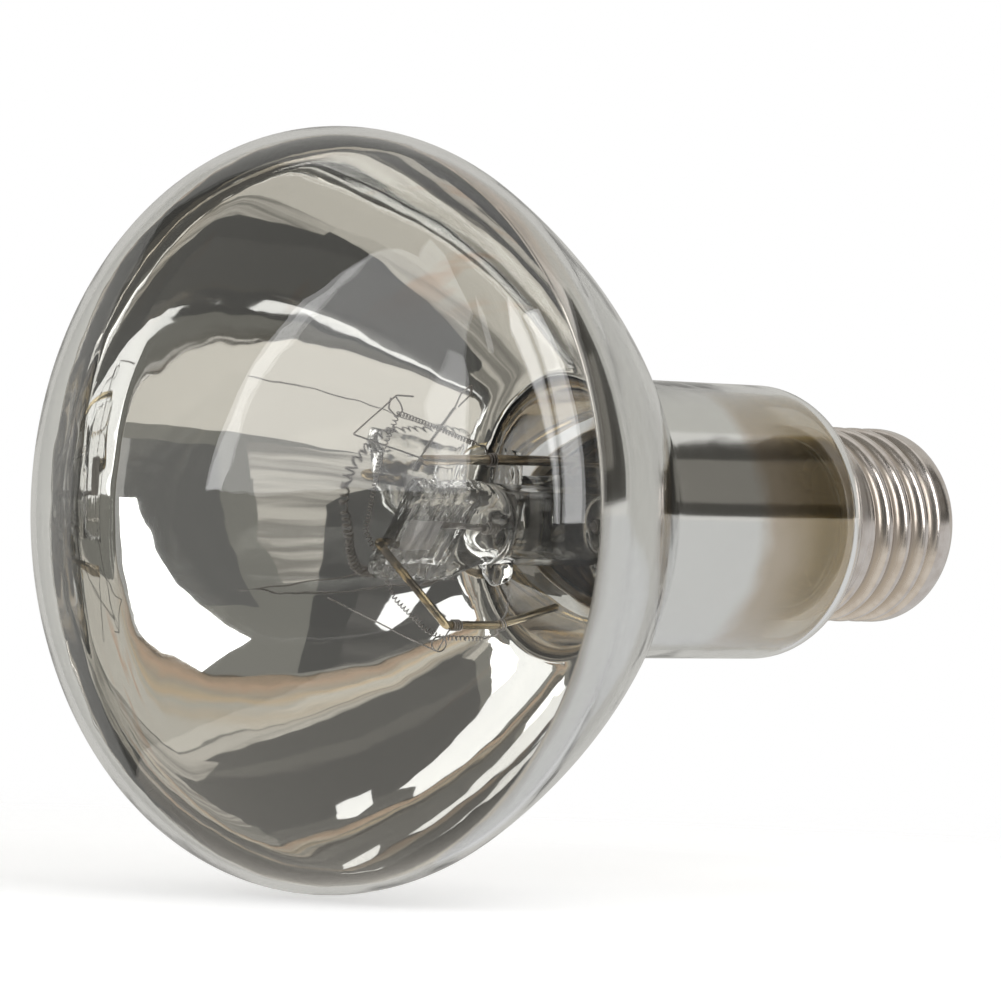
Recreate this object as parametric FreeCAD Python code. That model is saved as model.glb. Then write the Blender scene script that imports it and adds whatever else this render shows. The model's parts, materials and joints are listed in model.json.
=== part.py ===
import FreeCAD, Part
import os
from math import acos, asin, cos, degrees, radians, sin, tan

# A reflector lamp with a mercury vapour arc tube and a series ballast filament.
# The lamp's axis is Y: the domed face looks along -Y and the screw cap points along +Y.
# The origin is the centre of the cap's end contact. Lengths are millimetres.

os.makedirs("parts", exist_ok=True)
V = FreeCAD.Vector
AXIS = V(0, 1, 0)

# Envelope, blown in one piece
rim_radius = 47.5
rim_to_contact = 110.0
glass_wall = 1.0
face_radius = 85.0
rim_round = 14.4
rim_back_round = 16.4
rim_back_turn = 23.9
bowl_round = 101.7
neck_fillet = 6.0
neck_radius = 18.12
shoulder_round = 4.4
shoulder_turn = 85.0
throat_fillet = 0.8
throat_radius = 11.2

# Reflecting coat inside the bowl and most of the neck
coat_gap = 0.05
coat_thickness = 0.15
coat_shoulder_gap = 11.3

# Screw cap, rolled from thin brass
cap_length = 26.7
cap_radius = 13.06
cap_wall = 0.4
skirt_length = 4.3
thread_pitch = 3.629
thread_round = 1.025
thread_turns = 4
cap_end_round = 4.0
cap_end_turn = 75.0
cap_end_run = 1.0
cap_end_land = 1.0
contact_radius = 4.75
contact_height = 1.2
contact_edge = 0.4
contact_hole_radius = 1.3
cement_length = 2.7

# Small clearance between pieces that are fused, cemented or welded together
seat = 0.05

# Stem: flare, tube and press in one glass
lip_length = 1.2
flare_turn = 50.0
flare_round = 4.0
flare_lip_round = 3.0
stem_radius = 5.5
stem_wall = 0.9
stem_tube_length = 7.0
press_half_width = 6.0
press_half_thickness = 2.1
press_blend = 3.5
press_length = 2.5
exhaust_radius = 2.0
exhaust_wall = 0.5
exhaust_length = 20.0

# Arc tube: a quartz body between two flat pinch seals
stem_to_pinch = 3.64
arc_drop = 1.2
arc_radius = 5.2
arc_wall = 1.0
arc_body_length = 26.0
arc_end_round = 3.0
pinch_blend = 3.6
pinch_length = 11.3
pinch_half_width = 5.7
pinch_half_thickness = 1.2
pinch_bead_radius = 1.35
pinch_tilt = 33.0
pinch_offset = -1.1
tip_radius = 2.2
tip_place = 3.2
tip_proud = 0.1

# Electrodes, foils and leads sealed into the pinches
electrode_radius = 0.45
winding_radius = 1.05
winding_length = 3.2
electrode_reach = 4.0
foil_thickness = 0.1
foil_length = 6.0
foil_inset = 1.6
front_foil_width = 4.4
front_foil_place = -1.6
front_lead_place = -3.1
rear_foil_width = 2.5
rear_lead_place = -0.6
starter_foil_width = 1.6
starter_wall_gap = 1.2
starter_radius = 0.2
starter_reach = 1.6
lead_radius = 0.4

# Rod above the arc tube, and the leads through the stem
support_radius = 0.65
support_gap = 2.7
support_rise = 0.9
support_inset = 4.3
support_step = 9.0
stem_lead_radius = 0.5
stem_lead_place = 3.6
stem_lead_reach = 5.2
lead_bend = 2.5

# Wire from the front pinch, bent back under the arc tube
return_radius = 0.53
return_reach = 1.65
return_side = 4.0
return_drop = 13.9
return_set_back = 5.2
return_run = 9.8
return_tail = 14.3
return_rise = 2.2

# Hooks and the filament
hook_radius = 0.3
hook_weld = 3.0
hook_reach = 13.3
hook_rise = 2.8
hook_return = 6.4
hook_peak = 7.8
hook_tail = 3.8
far_hook_back = 7.0
far_hook_rise = 7.5
far_hook_loop = 2.1
lower_hook_radius = 0.25
lower_hook_drop = 1.75
lower_hook_side = 1.5
lower_hook_swing = 5.3
lower_hook_reach = 13.0
lower_hook_rise = 5.6
filament_radius = 0.35
filament_hang = 1.4
filament_start = 12.4
filament_swing = 7.6
filament_sag = 1.7
filament_end = 11.0

# Resistor of the starting electrode
resistor_radius = 1.6
resistor_length = 8.0
resistor_x = 9.5
resistor_z = 3.0
resistor_lead = 1.25
resistor_front_lead = 4.0
resistor_wire_radius = 0.25


def section_point(r, y, heading, inset):
    """A point of the section, moved inwards from an outline that runs along heading."""
    return V(r - inset * cos(heading), y + inset * sin(heading), 0)


def outline(start, heading, moves, inset=0.0):
    """Edges of a tangent outline and its end.

    Heading 0 runs along +Y and 90 outwards. A move is a straight length with turn 0,
    or an arc's radius with its turn in degrees, positive outwards.
    """
    r, y = start
    heading = radians(heading)
    edges = []
    for size, turn in moves:
        first = section_point(r, y, heading, inset)
        if turn == 0:
            r += size * sin(heading)
            y += size * cos(heading)
            last = section_point(r, y, heading, inset)
            edges.append(Part.LineSegment(first, last).toShape())
            continue
        side = 1 if turn > 0 else -1
        centre_r = r + side * size * cos(heading)
        centre_y = y - side * size * sin(heading)
        middle = heading + radians(turn) / 2
        heading += radians(turn)
        r = centre_r - side * size * cos(heading)
        y = centre_y + side * size * sin(heading)
        middle_r = centre_r - side * size * cos(middle)
        middle_y = centre_y + side * size * sin(middle)
        through = section_point(middle_r, middle_y, middle, inset)
        last = section_point(r, y, heading, inset)
        edges.append(Part.Arc(first, through, last).toShape())
    return edges, (r, y)


def revolve(edges):
    """A full turn of a closed section about the lamp's axis."""
    wire = Part.Wire(Part.__sortEdges__(edges))
    return Part.Face(wire).revolve(V(0, 0, 0), AXIS, 360)


def ends_of(edges):
    """The first and last point of an outline."""
    first = edges[0].valueAt(edges[0].FirstParameter)
    last = edges[-1].valueAt(edges[-1].LastParameter)
    return first, last


def revolve_wall(start, heading, moves, outer_inset, inner_inset):
    """A wall of even thickness that follows an outline."""
    outer, _ = outline(start, heading, moves, outer_inset)
    inner, _ = outline(start, heading, moves, inner_inset)
    outer_first, outer_last = ends_of(outer)
    inner_first, inner_last = ends_of(inner)
    closing = [Part.LineSegment(outer_first, inner_first).toShape(),
               Part.LineSegment(outer_last, inner_last).toShape()]
    return revolve(outer + inner + closing)


def rod(points, radius, bend):
    """A round wire through its corner points, each turned with one bend radius."""
    points = [V(*p) for p in points]
    edges = []
    start = points[0]
    for before, corner, after in zip(points, points[1:], points[2:]):
        back = (before - corner).normalize()
        ahead = (after - corner).normalize()
        turn = radians(180) - back.getAngle(ahead)
        reach = bend * tan(turn / 2)
        first = corner + back * reach
        last = corner + ahead * reach
        inward = (back + ahead).normalize()
        centre = corner + inward * (bend / cos(turn / 2))
        middle = centre - inward * bend
        edges.append(Part.LineSegment(start, first).toShape())
        edges.append(Part.Arc(first, middle, last).toShape())
        start = last
    edges.append(Part.LineSegment(start, points[-1]).toShape())
    path = Part.Wire(edges)
    ring = Part.Wire(Part.makeCircle(radius, points[0], points[1] - points[0]))
    return path.makePipeShell([ring], True, False)


def cylinder_y(radius, y_from, y_to, x=0.0, z=0.0):
    """A cylinder along the lamp's axis."""
    return Part.makeCylinder(radius, y_to - y_from, V(x, y_from, z), AXIS)


def oval(y, half_width, half_thickness, z=0.0):
    """An oval wire across the axis, its width along Z."""
    if half_width == half_thickness:
        return Part.Wire(Part.Circle(V(0, y, z), AXIS, half_width).toShape())
    ellipse = Part.Ellipse(V(0, y, z + half_width), V(half_thickness, y, z), V(0, y, z))
    return Part.Wire(ellipse.toShape())


def flattening(y_round, radius, y_flat, half_width, half_thickness, z=0.0):
    """The stretch where a round tube is pressed flat, towards a seal that lies off by z."""
    middle = (y_round + y_flat) / 2
    steps = [oval(y_round, radius, radius),
             oval(middle, (radius + half_width) / 2, radius * 0.45 + half_thickness * 0.55, z / 2),
             oval(y_flat, half_width, half_thickness, z)]
    return Part.makeLoft(steps, True, False)


def pinch_block(y_from, y_to):
    """A pinch seal: a flat web between two thicker beaded edges."""
    web = Part.makeBox(2 * pinch_half_thickness, y_to - y_from, 2 * pinch_half_width,
                       V(-pinch_half_thickness, y_from, pinch_offset - pinch_half_width))
    beads = [cylinder_y(pinch_bead_radius, y_from, y_to, 0, pinch_offset + side * pinch_half_width)
             for side in (-1, 1)]
    return web.fuse(beads).removeSplitter()


# Places along the axis that several pieces share
rim_y = -rim_to_contact
cap_rim_y = -cap_length
rim_centre_turn = degrees(asin((rim_radius - rim_round) / (face_radius - rim_round)))
face_tip_y = rim_y + (face_radius - rim_round) * cos(radians(rim_centre_turn)) - face_radius
back_radius = rim_radius - rim_back_round * (1 - cos(radians(rim_back_turn)))
bowl_end_turn = degrees(acos((neck_radius - back_radius + bowl_round * cos(radians(rim_back_turn))
                              + neck_fillet) / (bowl_round + neck_fillet)))


def bowl_moves():
    """The back of the rim, the bowl and the fillet into the neck."""
    return [(rim_back_round, -rim_back_turn),
            (bowl_round, rim_back_turn - bowl_end_turn),
            (neck_fillet, bowl_end_turn)]


def shoulder_moves():
    """The rounded end of the neck and the step down into the cap."""
    fall = 1 - cos(radians(shoulder_turn))
    step = neck_radius - throat_radius - (shoulder_round + throat_fillet) * fall
    return [(shoulder_round, -shoulder_turn),
            (step / sin(radians(shoulder_turn)), 0),
            (throat_fillet, shoulder_turn)]


neck_start_y = outline((rim_radius, rim_y), 0, bowl_moves())[1][1]
shoulder_length = outline((neck_radius, 0), 0, shoulder_moves())[1][1]
shoulder_drop = neck_radius - shoulder_round * (1 - cos(radians(shoulder_turn))) - cap_radius
shoulder_seat = (shoulder_round * sin(radians(shoulder_turn))
                 + shoulder_drop / tan(radians(shoulder_turn)))
neck_end_y = cap_rim_y - 2 * seat - shoulder_seat
throat_start_y = neck_end_y + shoulder_length
thread_start_y = cap_rim_y + skirt_length
stem_lip_y = thread_start_y + 1.6 * thread_pitch


def glass_envelope():
    """Domed face, bowl, neck and throat: one blown shell."""
    moves = [(face_radius, -rim_centre_turn), (rim_round, rim_centre_turn - 90)]
    moves += bowl_moves()
    moves += [(neck_end_y - neck_start_y, 0)]
    moves += shoulder_moves()
    moves += [(stem_lip_y - throat_start_y, 0)]
    return revolve_wall((0, face_tip_y), 90, moves, 0, glass_wall)


def mirror_coating():
    """The bright metal layer behind the glass, from the rim to the end of the neck."""
    moves = bowl_moves() + [(neck_end_y - neck_start_y - coat_shoulder_gap, 0)]
    near = glass_wall + coat_gap
    return revolve_wall((rim_radius, rim_y), 0, moves, near, near + coat_thickness)


def thread_moves():
    """Rolled round thread: every turn falls to a root and rises to a crest."""
    half_turn = degrees(asin(thread_pitch / 4 / thread_round))
    turn = [(thread_round, -half_turn), (thread_round, 2 * half_turn), (thread_round, -half_turn)]
    return turn * thread_turns


def cap_end_moves():
    """The rolled-in end of the cap."""
    return [(cap_end_land, 0), (cap_end_round, -cap_end_turn), (cap_end_run, 0)]


def cap_shell():
    """The thin metal shell of the screw cap."""
    moves = [(skirt_length, 0)] + thread_moves() + cap_end_moves()
    return revolve_wall((cap_radius, cap_rim_y), 0, moves, 0, cap_wall)


def cap_insulator():
    """Dark glass that fills the end of the cap round the contact."""
    _, land_start = outline((cap_radius, cap_rim_y), 0, [(skirt_length, 0)] + thread_moves())
    side, _ = outline(land_start, 0, cap_end_moves(), cap_wall + seat)
    top, foot = ends_of(side)
    run = [foot, V(contact_radius, -contact_height - seat, 0),
           V(contact_hole_radius, -contact_height - seat, 0),
           V(contact_hole_radius, top.y, 0), top]
    return revolve(side + [Part.LineSegment(a, b).toShape() for a, b in zip(run, run[1:])])


def centre_contact():
    """The round end contact, with a hole for the solder."""
    plate = cylinder_y(contact_radius, -contact_height, 0)
    plate = plate.cut(cylinder_y(contact_hole_radius, -contact_height, 0))
    outer = [e for e in plate.Edges if abs(e.BoundBox.XMax - contact_radius) < 1e-3
             and abs(e.BoundBox.YMin) < 1e-3 and e.BoundBox.YLength < 1e-3]
    return plate.makeFillet(contact_edge, outer)


def centre_solder():
    """The solder that joins the centre lead to the contact, flush with it."""
    return cylinder_y(contact_hole_radius - seat, -contact_height, 0)


def cap_cement():
    """The ring of cement between the glass throat and the skirt."""
    start = throat_start_y + seat
    ring = cylinder_y(cap_radius - cap_wall - seat, start, start + cement_length)
    return ring.cut(cylinder_y(throat_radius + seat, start, start + cement_length))


def stem_moves():
    """The stem's tube and its flare, from the press to the lip."""
    rise = 1 - cos(radians(flare_turn))
    lip_radius = throat_radius - glass_wall - seat
    slope = lip_radius - stem_radius - (flare_round + flare_lip_round) * rise
    return [(stem_tube_length, 0), (flare_round, flare_turn),
            (slope / sin(radians(flare_turn)), 0),
            (flare_lip_round, -flare_turn), (lip_length, 0)]


stem_length = outline((stem_radius, 0), 0, stem_moves())[1][1]
stem_tube_y = stem_lip_y - stem_length
press_y = stem_tube_y - press_blend
press_front_y = press_y - press_length
pinch_back = press_front_y - stem_to_pinch
arc_back = pinch_back - pinch_length - pinch_blend
arc_front = arc_back - arc_body_length
pinch_front = arc_front - pinch_blend - pinch_length
tip_drop = arc_radius + tip_proud
starter_place = arc_radius - arc_wall - starter_wall_gap
support_front = pinch_front + support_inset
support_height = arc_radius - arc_drop + support_gap
return_bend_y = pinch_front + return_set_back
starting_lead_y = pinch_back + 2 * stem_lead_radius
resistor_front = starting_lead_y - resistor_lead - seat - resistor_length


def lead_hole(side):
    """The place of a lead in the stem's press."""
    return cylinder_y(stem_lead_radius, press_front_y - 1, stem_tube_y + 1, 0, side * stem_lead_place)


def stem_glass():
    """Flare, tube and press of the stem, with the two leads sealed through it."""
    tube = revolve_wall((stem_radius, stem_tube_y), 0, stem_moves(), 0, stem_wall)
    blend = flattening(stem_tube_y, stem_radius, press_y, press_half_width, press_half_thickness)
    press = Part.Face(oval(press_y, press_half_width, press_half_thickness))
    press = press.extrude(V(0, -press_length, 0))
    glass = tube.fuse([blend, press]).removeSplitter()
    return glass.cut([lead_hole(1), lead_hole(-1)])


def exhaust_tube():
    """The narrow tube that the lamp was pumped through, closed at its tip."""
    start = stem_tube_y + seat
    tip_y = start + exhaust_length
    moves = [(exhaust_length - exhaust_radius, 0), (exhaust_radius, -90)]
    outer, _ = outline((exhaust_radius, start), 0, moves)
    inner, _ = outline((exhaust_radius, start), 0, moves, exhaust_wall)
    closing = [Part.LineSegment(outer[0].valueAt(outer[0].FirstParameter),
                                inner[0].valueAt(inner[0].FirstParameter)).toShape(),
               Part.LineSegment(V(0, tip_y, 0), V(0, tip_y - exhaust_wall, 0)).toShape()]
    return revolve(outer + inner + closing)


def in_pinch(shape):
    """Turn and place a piece that was drawn on the arc tube's own axis."""
    shape.rotate(V(0, 0, 0), AXIS, pinch_tilt)
    shape.translate(V(0, 0, -arc_drop))
    return shape


def pinch_point(along, y, out=0.0):
    """A point of the lamp from its place across the pinch and out of its plane."""
    tilt = radians(pinch_tilt)
    return (along * sin(tilt) + out * cos(tilt), y, along * cos(tilt) - out * sin(tilt) - arc_drop)


def foil(place, width, end_y, inward):
    """A thin metal foil inside a pinch; inward is +1 at the front end and -1 at the back."""
    near = end_y + inward * foil_inset
    start = min(near, near + inward * foil_length)
    return Part.makeBox(foil_thickness, foil_length, width,
                        V(-foil_thickness / 2, start, place - width / 2))


def front_foil():
    return foil(front_foil_place, front_foil_width, pinch_front, 1)


def rear_foil():
    return foil(rear_lead_place, rear_foil_width, pinch_back, -1)


def starting_foil():
    return foil(starter_place, starter_foil_width, pinch_back, -1)


def electrode(tip_y, foil_y, outward):
    """A rod with its winding; outward is the way from the tip to the foil along Y."""
    low, high = sorted((tip_y, foil_y))
    shaft = cylinder_y(electrode_radius, low, high)
    wound_from = tip_y + outward * winding_length * 0.25
    low, high = sorted((wound_from, wound_from + outward * winding_length))
    winding = cylinder_y(winding_radius, low, high)
    return shaft.fuse(winding).removeSplitter()


front_foil_inner = pinch_front + foil_inset + foil_length
back_foil_inner = pinch_back - foil_inset - foil_length
front_tip = arc_front + electrode_reach
back_tip = arc_back - electrode_reach


def lead_stub(radius, place, end_y, inward):
    """The stretch of a lead inside the pinch, from the foil to the end face."""
    low, high = sorted((end_y, end_y + inward * foil_inset))
    return cylinder_y(radius, low, high, 0, place)


def sealed_in():
    """Everything that the quartz closes round, as one list of solids."""
    front = [front_foil(), front_electrode(),
             lead_stub(return_radius, front_lead_place, pinch_front, 1)]
    back = [rear_foil(), rear_electrode(), lead_stub(lead_radius, rear_lead_place, pinch_back, -1),
            starting_foil(), starting_electrode(),
            lead_stub(lead_radius, starter_place, pinch_back, -1)]
    return front + back


def front_electrode():
    return electrode(front_tip, front_foil_inner, -1)


def rear_electrode():
    return electrode(back_tip, back_foil_inner, 1)


def starting_electrode():
    """The thin third electrode beside the back one."""
    return cylinder_y(starter_radius, arc_back - starter_reach, back_foil_inner, 0, starter_place)


def arc_tube():
    """Quartz body, its two pinch seals and the sealed-off filling tip."""
    parts = [cylinder_y(arc_radius, arc_front, arc_back)]
    for tube_end, way in ((arc_front, -1), (arc_back, 1)):
        flat_y = tube_end + way * pinch_blend
        low, high = sorted((flat_y, flat_y + way * pinch_length))
        blend = flattening(tube_end, arc_radius, flat_y, pinch_half_width,
                           pinch_half_thickness - seat, pinch_offset)
        parts += [blend, pinch_block(low, high)]
    tilt = radians(pinch_tilt)
    tip = V(tip_drop * sin(tilt), arc_front + tip_place, -tip_drop * cos(tilt))
    parts.append(Part.makeSphere(tip_radius, tip))
    quartz = parts[0].fuse(parts[1:]).removeSplitter()
    bore = arc_radius - arc_wall
    inside, _ = outline((bore - arc_end_round, arc_front - 1), 90,
                        [(arc_end_round, -90), (arc_body_length + 2 - 2 * arc_end_round, 0),
                         (arc_end_round, -90)])
    first, last = ends_of(inside)
    run = [last, V(0, last.y, 0), V(0, first.y, 0), first]
    inside += [Part.LineSegment(a, b).toShape() for a, b in zip(run, run[1:])]
    quartz = quartz.cut(revolve(inside))
    return in_pinch(quartz.cut(sealed_in()))


def return_wire():
    """The stiff wire from the front pinch, bent back under the arc tube to a free end."""
    inside = pinch_point(front_lead_place, pinch_front + foil_inset)
    outside = pinch_point(front_lead_place, pinch_front - return_reach)
    level_end_y = return_bend_y + return_run
    return rod([inside, outside, (return_side, return_bend_y, -return_drop),
                (0.8 * return_side, level_end_y, -return_drop),
                (0.25 * return_side, level_end_y + return_tail, return_rise - return_drop)],
               return_radius, 0.6)


def under_return(share, radius):
    """A point under the level run of the return wire, for a wire of the given radius."""
    return (return_side * (1 - 0.2 * share), return_bend_y + share * return_run,
            -return_drop - return_radius - radius - seat)


def support_rod():
    """The straight rod above the arc tube, stepped down to its lead at the stem."""
    low = stem_lead_place + stem_lead_radius + support_radius + seat
    step_y = press_front_y - support_step
    points = [(0, support_front, support_height), (0, step_y, support_height + support_rise),
              (0, step_y + 3, low), (0, press_front_y - 4 * seat, low)]
    return rod(points, support_radius, 1.5)


def upper_hook():
    """The front hook, welded beside the rod's end, that carries the filament."""
    side = support_radius + hook_radius + seat
    far_y = support_front - hook_reach
    peak = support_height + hook_peak
    points = [(side, support_front + hook_weld, support_height), (side, support_front - 0.5, support_height),
              (side, far_y, support_height + hook_rise), (side, far_y + hook_return, peak - 2 * hook_radius),
              (side, far_y + 1.14 * hook_return, peak), (side, far_y + hook_return + hook_tail, peak)]
    return rod(points, hook_radius, 0.4)


def far_hook():
    """The second hook, on the other side of the rod's end."""
    side = -support_radius - hook_radius - seat
    top_y = support_front + far_hook_back
    top_z = support_height + far_hook_rise
    points = [(side, support_front - 0.7, support_height - 3 * hook_radius), (side, top_y, top_z),
              (side, top_y + 0.9 * far_hook_loop, top_z + far_hook_loop),
              (side, top_y + 0.7 * far_hook_loop, top_z + 0.2 * far_hook_loop)]
    return rod(points, hook_radius, 0.35)


def lower_hook():
    """The hook below the arc tube, welded under the return wire, with its long tail."""
    x, y, z = under_return(0.2, lower_hook_radius)
    low = z - lower_hook_drop
    points = [under_return(0.53, lower_hook_radius), (x, y, z), (lower_hook_side, y, z),
              (0.8 * lower_hook_side, y, low), (-0.5 * lower_hook_side, y, low),
              (-0.5 * lower_hook_side - lower_hook_swing, y - lower_hook_reach, low + lower_hook_rise)]
    return rod(points, lower_hook_radius, 0.3)


def ballast_filament():
    """The series filament as the round outer form of its fine coil."""
    side = support_radius + filament_radius + seat
    start_y = support_front + filament_start
    hung_y = support_front - hook_reach + 1.2 * hook_return
    hung_z = support_height + hook_peak - hook_radius - filament_radius - filament_hang
    low = -return_drop - filament_sag
    end_z = under_return(1, filament_radius)[2] - 2 * seat
    points = [(side, start_y, support_height + filament_radius),
              (side, start_y - 3.8, support_height + 6 * filament_radius),
              (side, hung_y, hung_z), (-0.25 * filament_swing, hung_y, hung_z - 0.4 * hook_reach),
              (-filament_swing, return_bend_y - 3.2, -2.3),
              (-0.8 * filament_swing, return_bend_y + 0.8, low + 0.36 * hook_reach),
              (-0.25 * filament_swing, return_bend_y + 2.2, low + filament_radius * 3),
              (0.6, return_bend_y + 2.8, low), (2.0, return_bend_y + filament_end - 2, low),
              (2.9, return_bend_y + filament_end, end_z)]
    return rod(points, filament_radius, 0.6)


def rear_lead():
    """The lead from the back pinch to the stem's lower lead."""
    side = stem_lead_radius + lead_radius + 3 * seat
    points = [pinch_point(rear_lead_place, pinch_back - foil_inset),
              pinch_point(rear_lead_place, pinch_back + 0.6),
              (-side, press_front_y - 2.2, -stem_lead_place),
              (-side, press_front_y - 4 * seat, -stem_lead_place)]
    return rod(points, lead_radius, 0.4)


def starting_lead():
    """The lead of the starting electrode, out to the resistor."""
    points = [pinch_point(starter_place, pinch_back - foil_inset),
              pinch_point(starter_place, starting_lead_y),
              (resistor_x, starting_lead_y, resistor_z),
              (resistor_x, resistor_front + resistor_length + seat, resistor_z)]
    return rod(points, lead_radius, 0.5)


def starting_resistor():
    """A small ceramic resistor with rounded ends."""
    body = cylinder_y(resistor_radius, resistor_front, resistor_front + resistor_length,
                      resistor_x, resistor_z)
    rims = [e for e in body.Edges if e.BoundBox.YLength < 1e-3]
    return body.makeFillet(resistor_radius * 0.4, rims)


def resistor_wire():
    """The resistor's front wire, welded to the support rod."""
    side = support_radius + resistor_wire_radius + seat
    bend_y = resistor_front - resistor_front_lead
    points = [(resistor_x, resistor_front - seat, resistor_z), (resistor_x, bend_y, resistor_z),
              (side, bend_y, support_height + 0.8 * support_rise),
              (side, bend_y - 2, support_height + 0.8 * support_rise)]
    return rod(points, resistor_wire_radius, 0.5)


def centre_lead():
    """The lead from the support rod through the stem to the centre contact."""
    points = [(0, press_front_y - stem_lead_reach, stem_lead_place),
              (0, -0.45 * cap_length, stem_lead_place),
              (0, lead_bend - 0.45 * cap_length, 0), (0, -contact_height - seat, 0)]
    return rod(points, stem_lead_radius, 0.8)


def side_lead():
    """The lead from the back electrode through the stem to the cap's shell."""
    crest_y = thread_start_y + 3 * thread_pitch
    points = [(0, press_front_y - stem_lead_reach / 2, -stem_lead_place),
              (0, crest_y - 3 * stem_lead_radius, -stem_lead_place),
              (0, crest_y, -stem_lead_place - lead_bend),
              (0, crest_y, -cap_radius + cap_wall + 3 * seat + 1.4 + seat)]
    return rod(points, stem_lead_radius, 0.8)


def side_solder():
    """The bead that joins the side lead to the inside of the shell."""
    crest_y = thread_start_y + 3 * thread_pitch
    return Part.makeSphere(0.7, V(0, crest_y, -cap_radius + cap_wall + 3 * seat + 0.7))


PIECES = {
    "glass_envelope": glass_envelope,
    "mirror_coating": mirror_coating,
    "stem_glass": stem_glass,
    "exhaust_tube": exhaust_tube,
    "arc_tube": arc_tube,
    "front_electrode": lambda: in_pinch(front_electrode()),
    "rear_electrode": lambda: in_pinch(rear_electrode()),
    "starting_electrode": lambda: in_pinch(starting_electrode()),
    "front_foil": lambda: in_pinch(front_foil()),
    "rear_foil": lambda: in_pinch(rear_foil()),
    "starting_foil": lambda: in_pinch(starting_foil()),
    "return_wire": return_wire,
    "support_rod": support_rod,
    "upper_hook": upper_hook,
    "far_hook": far_hook,
    "lower_hook": lower_hook,
    "ballast_filament": ballast_filament,
    "rear_lead": rear_lead,
    "starting_lead": starting_lead,
    "starting_resistor": starting_resistor,
    "resistor_wire": resistor_wire,
    "centre_lead": centre_lead,
    "side_lead": side_lead,
    "cap_shell": cap_shell,
    "cap_insulator": cap_insulator,
    "centre_contact": centre_contact,
    "centre_solder": centre_solder,
    "cap_cement": cap_cement,
    "side_solder": side_solder,
}

for name, make in PIECES.items():
    shape = make()
    if shape.ShapeType != "Solid" and len(shape.Solids) == 1:
        shape = shape.Solids[0]
    shape.exportStep(f"parts/{name}.step")
    box = shape.BoundBox
    print(f"{name:20s} solids {len(shape.Solids)} valid {shape.isValid()} volume {shape.Volume:9.2f}"
          f"  y {box.YMin:8.2f} {box.YMax:8.2f}")
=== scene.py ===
import json
from math import acos, asin, atan2, cos, degrees, hypot, pi, radians, sin, sqrt, tan

import bmesh
import bpy
from mathutils import Matrix, Vector, noise


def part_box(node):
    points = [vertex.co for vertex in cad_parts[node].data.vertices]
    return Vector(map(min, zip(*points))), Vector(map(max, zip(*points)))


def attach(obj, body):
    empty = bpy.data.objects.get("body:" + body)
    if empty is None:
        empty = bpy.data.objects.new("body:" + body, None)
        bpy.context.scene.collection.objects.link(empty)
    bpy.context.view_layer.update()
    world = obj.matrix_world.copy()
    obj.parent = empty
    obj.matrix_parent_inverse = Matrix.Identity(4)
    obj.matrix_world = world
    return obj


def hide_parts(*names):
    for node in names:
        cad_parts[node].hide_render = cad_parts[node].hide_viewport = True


# A reflector lamp with a mercury vapour arc tube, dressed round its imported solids.
# The lamp's axis is Y, its domed face looks along -Y and +Z is up. Lengths are
# millimetres until a mesh is made, and MM turns them into metres.

MM = 0.001
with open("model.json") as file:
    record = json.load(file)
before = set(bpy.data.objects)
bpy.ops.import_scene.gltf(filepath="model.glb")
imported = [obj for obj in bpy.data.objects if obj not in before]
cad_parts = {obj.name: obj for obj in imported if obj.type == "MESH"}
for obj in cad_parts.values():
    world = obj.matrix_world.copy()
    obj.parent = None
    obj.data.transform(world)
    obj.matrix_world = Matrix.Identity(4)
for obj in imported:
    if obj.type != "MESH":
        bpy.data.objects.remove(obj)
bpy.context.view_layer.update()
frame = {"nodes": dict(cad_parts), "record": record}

# Envelope, as the solids have it
rim_radius = 47.5
rim_y = -110.0
glass_wall = 1.0
face_radius = 85.0
rim_round = 14.4
rim_back_round = 16.4
rim_back_turn = 23.9
bowl_round = 101.7
neck_fillet = 6.0
neck_radius = 18.12
shoulder_round = 4.4
shoulder_turn = 85.0
throat_fillet = 0.8
throat_radius = 11.2
coat_gap = 0.05
coat_thickness = 0.15
film_lap = 9.0

# Screw cap
cap_length = 26.7
cap_radius = 13.06
cap_wall = 0.4
skirt_length = 4.3
thread_pitch = 3.629
thread_round = 1.025
thread_depth = 1.1
thread_row = 0.16
thread_turns = 4
thread_lead = 0.2
thread_fade = 1.4
cap_end_round = 4.0
cap_end_turn = 75.0
cap_end_run = 1.0
cap_end_land = 1.0
seat = 0.05

# Arc tube
stem_to_pinch = 3.64
arc_drop = 1.2
arc_radius = 5.2
arc_wall = 1.0
arc_body_length = 26.0
arc_end_round = 3.0
pinch_blend = 3.6
pinch_length = 11.3
pinch_half_width = 5.7
pinch_half_thickness = 1.2
pinch_bead_radius = 1.35
pinch_tilt = 33.0
pinch_offset = -1.1
fold_height = 0.30
rib_height = 0.22
wrinkle_height = 0.10
quartz_row = 0.3
tip_radius = 2.2
tip_place = 3.2
tip_proud = 0.1

# Electrodes, wires and filament
electrode_radius = 0.45
electrode_reach = 4.0
winding_start = 0.8
winding_length = 3.0
winding_radius = 0.72
winding_pitch = 0.62
winding_wire = 0.27
foil_length = 6.0
foil_inset = 1.6
front_lead_place = -3.1
support_radius = 0.65
support_gap = 2.7
support_rise = 0.9
support_inset = 4.3
support_step = 9.0
stem_lead_radius = 0.5
stem_lead_place = 3.6
return_radius = 0.53
return_reach = 1.65
return_side = 4.0
return_drop = 13.9
return_set_back = 5.2
return_run = 9.8
return_draw_in = 0.2
return_tail = 14.3
return_rise = 2.2
hook_radius = 0.3
hook_wire = 0.11
hook_weld = 3.0
hook_reach = 13.3
hook_rise = 2.8
hook_return = 6.4
hook_peak = 7.8
hook_tail = 3.8
far_hook_back = 7.0
far_hook_rise = 7.5
binding_wire = 0.06
binding_lift = 0.07
binding_pitch = 0.36
lower_hook_radius = 0.25
lower_wire = 0.10
lower_hook_drop = 1.75
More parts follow.
